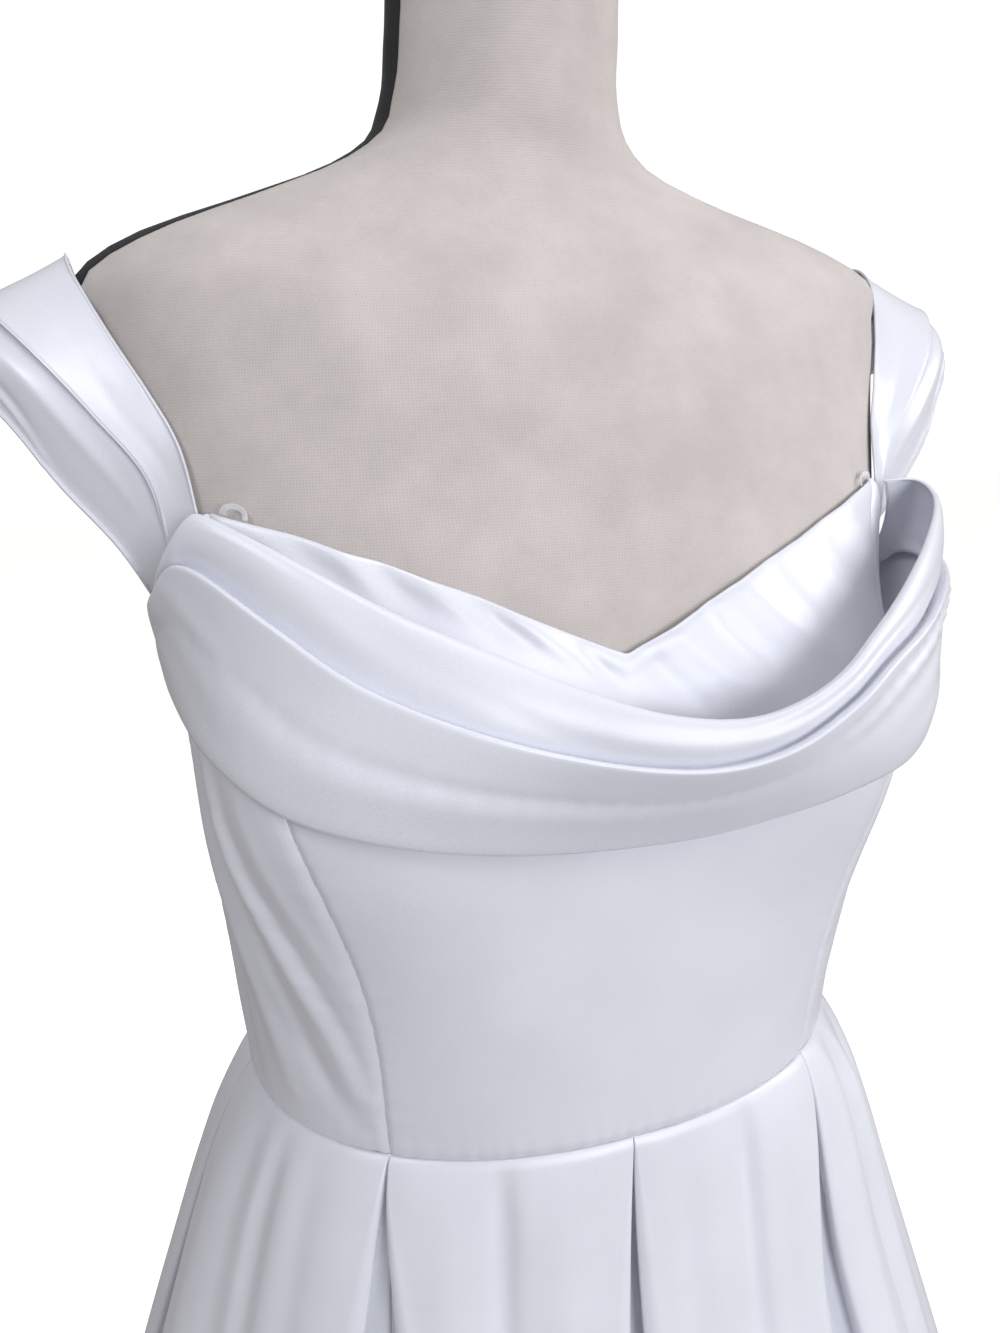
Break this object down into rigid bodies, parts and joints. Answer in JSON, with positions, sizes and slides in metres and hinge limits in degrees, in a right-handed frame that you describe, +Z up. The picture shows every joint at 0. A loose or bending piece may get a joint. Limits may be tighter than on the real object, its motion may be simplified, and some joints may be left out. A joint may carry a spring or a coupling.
{
  "type": "off-shoulder dress on a limbless dress form",
  "caption": "White satin off-shoulder dress with a cowl drape, folded straps and a pleated full skirt, on a limbless dress form with a round base.",
  "frame": {"origin": "on the floor under the middle of the stand's base", "axes": "+Z up, -Y toward the dress's front, +X toward the wearer's left"},
  "size_m": [0.8403, 0.7912, 1.518],
  "materials": {
    "satin": "satin",
    "zip_tape": "woven tape",
    "ribbon": "smooth",
    "form_linen": "matte linen",
    "form_jersey": "matte jersey",
    "stand_steel": "satin black",
    "zip_metal": "lacquered"
  },
  "bodies": {
    "dress": {"bodice_back_left": "satin", "bodice_back_right": "satin", "bodice_front": "satin", "bodice_side_back_left": "satin", "bodice_side_back_right": "satin", "bodice_side_front_left": "satin", "bodice_side_front_right": "satin", "drape": "satin", "form_back": "form_jersey", "form_board": "stand_steel", "form_front": "form_linen", "hanger_loop_left": "ribbon", "hanger_loop_right": "ribbon", "skirt_back_left": "satin", "skirt_back_right": "satin", "skirt_front": "satin", "skirt_side_left": "satin", "skirt_side_right": "satin", "stand_base": "stand_steel", "stand_pole": "stand_steel", "strap_left": "satin", "strap_right": "satin", "zip_chain": "zip_tape", "zip_slider": "zip_metal"},
    "zip_pull": {"zip_pull": "zip_metal"}
  },
  "joints": [
    {"name": "zip_pull_swing", "type": "hinge", "parent": "dress", "child": "zip_pull", "pos_m": [0, 0.10953, 1.2293], "axis": [1, 0, 0], "range_deg": [0, 150]}
  ]
}
